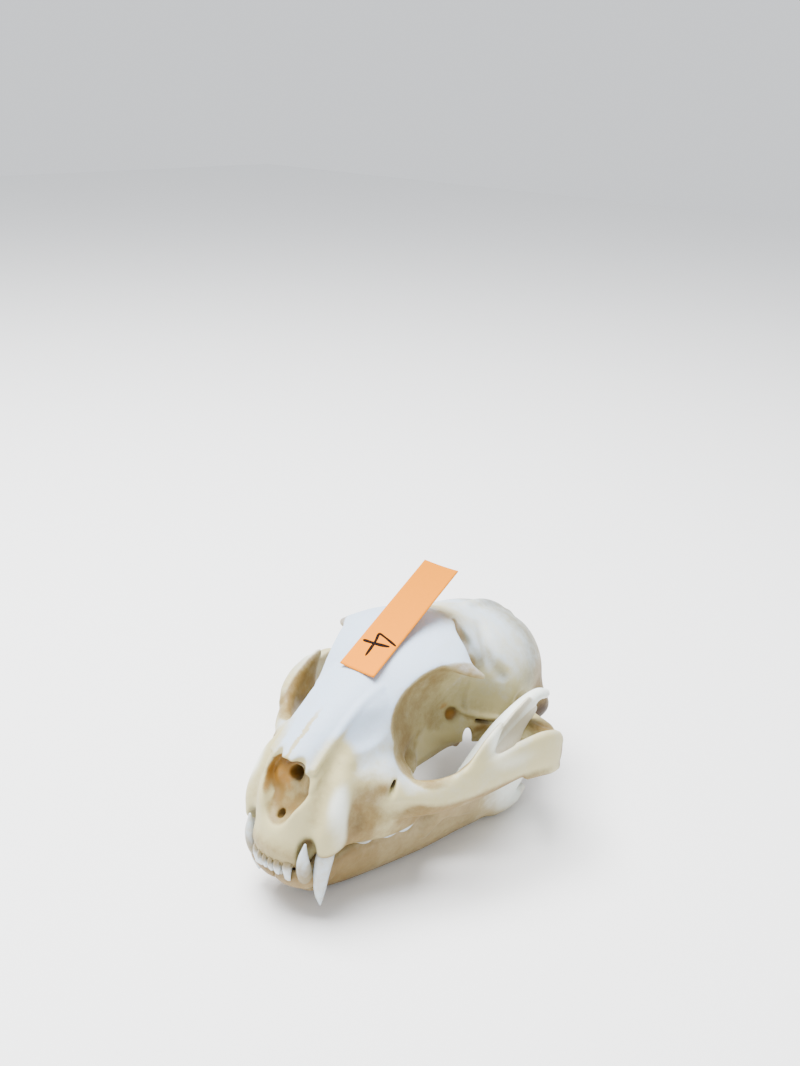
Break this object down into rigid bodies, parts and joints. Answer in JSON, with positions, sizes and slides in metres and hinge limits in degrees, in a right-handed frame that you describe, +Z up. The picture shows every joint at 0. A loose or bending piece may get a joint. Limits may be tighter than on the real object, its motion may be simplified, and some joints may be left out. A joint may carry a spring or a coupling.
{
  "type": "caracal skull",
  "caption": "Skull of a small wild cat with its lower jaw closed under it and a numbered paper strip stuck to the brow, for display.",
  "frame": {"origin": "on the floor under the middle of the bounding box", "axes": "+X the animal's left, +Y towards the back of the head, the nose along -Y, +Z up"},
  "size_m": [0.095, 0.1264, 0.0867],
  "materials": {
    "braincase": "dry bleached bone, smooth and matt, cool white above and tan in the hollows",
    "snout": "dry bleached bone with white enamelled teeth",
    "cheekbone_left": "dry cream bone, matt",
    "cheekbone_right": "dry cream bone, matt",
    "lower_jaw_left": "dry tan bone with white enamelled teeth",
    "lower_jaw_right": "dry tan bone with white enamelled teeth",
    "number_strip": "light orange matt paper with a handwritten number"
  },
  "bodies": {
    "root": {"braincase": "braincase", "snout": "snout", "cheekbone_left": "cheekbone_left", "cheekbone_right": "cheekbone_right", "lower_jaw_left": "lower_jaw_left", "lower_jaw_right": "lower_jaw_right", "number_strip": "number_strip"}
  },
  "joints": []
}
